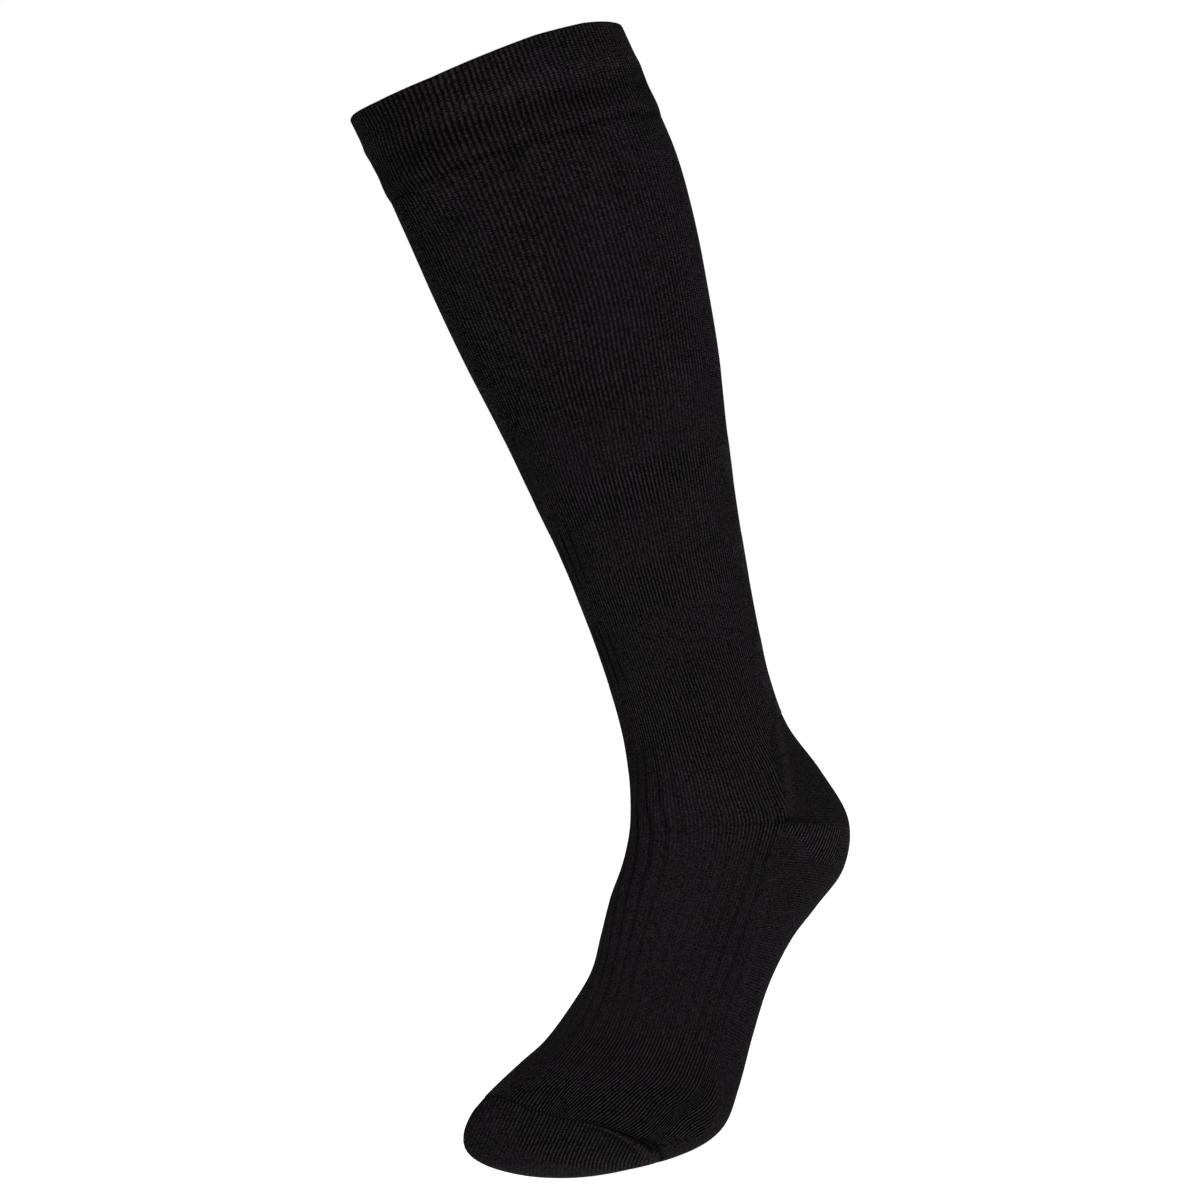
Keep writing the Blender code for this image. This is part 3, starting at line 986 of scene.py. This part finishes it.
class Paint:
    """One material and its nodes."""

    def __init__(self, name):
        self.material = bpy.data.materials.new(name)
        self.material.use_nodes = True
        self.tree = self.material.node_tree
        self.shader = self.tree.nodes["Principled BSDF"]

    def node(self, kind, settings=None, inputs=None, output=0):
        """Adds a node: its settings first, then its sockets' values or links."""
        node = self.tree.nodes.new(kind)
        for key, value in (settings or {}).items():
            setattr(node, key, value)
        for key, value in (inputs or {}).items():
            if isinstance(value, Socket):
                self.tree.links.new(value.socket, node.inputs[key])
            else:
                node.inputs[key].default_value = value
        return Socket(self, node.outputs[output])

    def math(self, operation, *values):
        """One Math node on one or two values."""
        return self.node("ShaderNodeMath", {"operation": operation}, dict(enumerate(values)))

    def wave(self, turns):
        """A cosine from 0 to 1 and back, once a turn, with 1 at whole turns."""
        return 0.5 + 0.5 * self.math("COSINE", turns * (2 * np.pi))

    def attribute(self, name):
        """A mark of the mesh's points."""
        return self.node("ShaderNodeAttribute", {"attribute_name": name}, output="Fac")

    def noise(self, vector, scale, detail):
        """Soft noise, its scale in patches to a metre."""
        inputs = {"Vector": vector, "Scale": scale, "Detail": detail, "Roughness": 0.5}
        return self.node("ShaderNodeTexNoise", {"noise_dimensions": "3D"}, inputs, output="Fac")

    def colour(self, amount, low, high):
        """A blend of two colours by an amount from 0 to 1."""
        settings = {"data_type": "RGBA", "clamp_factor": True}
        return self.node("ShaderNodeMix", settings, {0: amount, 6: (*low, 1), 7: (*high, 1)}, output=2)

    def feed(self, value, name):
        """Links a value to one of the shader's own sockets."""
        self.tree.links.new(value.socket, self.shader.inputs[name])

    def fix(self, **values):
        """Sets the shader's own sockets, named with _ for a space."""
        for name, value in values.items():
            self.shader.inputs[name.replace("_", " ")].default_value = value


# BLACK is the painted shade deep between the ribs, GREY the threads' own colour.
BLACK, GREY = (0.0007, 0.0006, 0.0007), (0.0273, 0.0243, 0.0269)  # deep between the ribs, and on the threads
FUZZ, PATCHES, WANDER = 2300.0, 38.0, 260.0  # scales of the noises
PLAIN_ROW = 1.3  # courses to a row of loops of the plain cloth
SHORT_RIB_LEAN = 0.185  # wales to a course


def knit_material(name, level=0.0):
    """Fine knit: ribs of chevron stitches along the wales, rows of loops where the cloth is plain, and fuzz.

    The tone is a sum of cosines of wale and course, times 1 and a speckle: the ribs' cosine paints shade into the
    grooves between them and light onto their crowns, the wide grooves are painted darker, and the shade mark adds
    its painted light and shade. It blends black into grey. level makes it lighter or darker all over.
    """
    paint = Paint(name)
    place = paint.node("ShaderNodeTexCoord", output="Object")
    knit = paint.node("ShaderNodeUVMap", {"uv_map": "knit"})
    wale = paint.node("ShaderNodeSeparateXYZ", inputs={0: knit}, output="X")
    course = Socket(paint, wale.socket.node.outputs["Y"])
    rib, groove, plain, shade, grain, slant = (paint.attribute(mark) for mark in LINING)
    within = abs(paint.math("FRACT", wale) - 0.5) * 2  # 0 on a rib, 1 in the groove beside it
    fuzz, patches, wander = (paint.noise(place, *kind) for kind in ((FUZZ, 1.0), (PATCHES, 2.0), (WANDER, 1.0)))
    halves = {0: paint.math("FLOOR", wale * 2), 1: paint.math("FLOOR", course * 2)}
    stitch = paint.node("ShaderNodeCombineXYZ", inputs=halves)
    bead = paint.node("ShaderNodeTexWhiteNoise", {"noise_dimensions": "2D"}, {"Vector": stitch}, output="Value")
    profile = paint.wave(within * 0.5)
    chevron = paint.wave(course - within * 0.45 + wander * 0.5)
    rows = paint.wave((course + wander * 0.6) * (1 / PLAIN_ROW))
    leaning = 1 - paint.wave(abs(wale) + (course - courses(GORE)) * SHORT_RIB_LEAN)
    # Painted shade in the grooves between the ribs and painted light on their crowns, painted shade in the wide
    # grooves, and the shade mark's painted light and shade.
    tone = 0.33 + level + (profile - 0.5) * rib * 0.85 + (rows - 0.5) * plain * 0.3 + (leaning - 0.5) * slant * 1.5
    tone = paint.math("MAXIMUM", tone + (patches - 0.5) * 0.14 - groove * 0.42 + shade, 0.03)
    speckle = ((bead - 0.5) * 1.2 + (fuzz - 0.5) * 4) * (0.8 + 0.6 * grain)
    tone = tone * (1 + (chevron - 0.5) * (1 - plain) * grain * 1.5 + speckle)
    paint.feed(paint.colour(tone * 0.75, BLACK, GREY), "Base Color")
    rise = profile * chevron * rib * 0.5 + rows * plain * 0.35 + leaning * slant * 0.8 + fuzz * 0.4
    bump = paint.node("ShaderNodeBump", None, {"Strength": 0.7, "Distance": 0.0003, "Height": rise})
    paint.feed(bump, "Normal")
    paint.feed(0.86 + (fuzz - 0.5) * 0.2, "Roughness")
    paint.fix(Specular_IOR_Level=0.012, Sheen_Weight=0.004, Sheen_Roughness=0.4, Sheen_Tint=(0.95, 0.85, 0.95, 1))
    return paint.material


# ---------------------------------------------------------------- the pieces

RIB_SKIN = knit_material("rib_knit_black")
WELT_SKIN = knit_material("welt_knit_black", -0.07)
PLAIN_SKIN = knit_material("plain_knit_black")
SEAM_SKIN = knit_material("seam_yarn_black", -0.1)


def finish_piece(obj, material, node):
    """A piece with its material, riding on the only body in place of its CAD node."""
    obj.data.materials.append(material)
    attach(obj, "root")
    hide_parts(node)
    return obj


welt = finish_piece(build_welt(), WELT_SKIN, "cuff_band")
leg = finish_piece(build_leg(), RIB_SKIN, "leg_tube")
heel = finish_piece(build_heel(), PLAIN_SKIN, "heel_pocket")
foot = finish_piece(build_foot(), RIB_SKIN, "foot_tube")
toe = finish_piece(build_toe(), PLAIN_SKIN, "toe_cap")
seam = finish_piece(build_seam(), SEAM_SKIN, "toe_seam")

# ---------------------------------------------------------------- floor, light, camera


def build_floor(size=6.0):
    """A plain pale floor just under the toe, and this far each way."""
    z = cad_box[0][2] - 0.0003
    mesh = bpy.data.meshes.new("floor")
    mesh.from_pydata([(-size, -size, z), (size, -size, z), (size, size, z), (-size, size, z)], [], [(0, 1, 2, 3)])
    paint = Paint("floor_white")
    place = paint.node("ShaderNodeTexCoord", output="Object")
    paint.feed(paint.colour(paint.noise(place, 3.0, 2.0), (0.60, 0.60, 0.60), (0.64, 0.64, 0.64)), "Base Color")
    paint.fix(Roughness=0.9, Emission_Color=(1, 1, 1, 1), Emission_Strength=1.0)
    mesh.materials.append(paint.material)
    link("floor", mesh)


def build_light(name, place, aim, size, power):
    """A square soft light at a place, turned to a point."""
    light = bpy.data.lights.new(name, "AREA")
    light.shape, light.size, light.energy = "SQUARE", size, power
    obj = link(name, light)
    way = Vector(aim) - Vector(place)
    obj.matrix_world = Matrix.Translation(place) @ way.to_track_quat("-Z", "Y").to_matrix().to_4x4()
    obj.visible_camera = False


def build_camera(aim, turn, roll, distance, lens):
    """A level view of a point, from this turn past the front towards the outer side, with the camera rolled."""
    turn, roll, up = np.radians(turn), np.radians(roll), Vector((0, 0, 1))
    towards = Vector((np.sin(turn), -np.cos(turn), 0))
    level = Vector((np.cos(turn), np.sin(turn), 0))
    camera = bpy.data.cameras.new("camera")
    camera.lens, camera.sensor_width = lens, 36
    camera.clip_end = 30
    obj = link("camera", camera)
    axes = (np.cos(roll) * level - np.sin(roll) * up, np.sin(roll) * level + np.cos(roll) * up, towards)
    obj.matrix_world = Matrix.Translation(Vector(aim) + distance * towards) @ Matrix(axes).transposed().to_4x4()
    bpy.context.scene.camera = obj


def build_world(seen, cast):
    """A white surround: seen at one strength by the camera, and lighting the cloth at another."""
    world = bpy.data.worlds.new("studio")
    world.use_nodes = True
    tree = world.node_tree
    shown, light = tree.nodes["Background"], tree.nodes.new("ShaderNodeBackground")
    for background, strength in ((shown, seen), (light, cast)):
        background.inputs["Color"].default_value = (1, 1, 1, 1)
        background.inputs["Strength"].default_value = strength
    rays, mix = tree.nodes.new("ShaderNodeLightPath"), tree.nodes.new("ShaderNodeMixShader")
    tree.links.new(rays.outputs["Is Camera Ray"], mix.inputs[0])
    tree.links.new(light.outputs[0], mix.inputs[1])
    tree.links.new(shown.outputs[0], mix.inputs[2])
    tree.links.new(mix.outputs[0], tree.nodes["World Output"].inputs["Surface"])
    bpy.context.scene.world = world


build_floor()
build_camera(aim=(0, -0.033, -0.232), turn=50, roll=18.3, distance=1.8, lens=125.6)
build_light("key", place=(1.9, -0.7, 1.3), aim=(0, 0, -0.25), size=1.2, power=42)
build_world(seen=1.0, cast=0.27)
bpy.context.scene.view_settings.view_transform = "Standard"
bpy.context.scene.view_settings.look = "None"
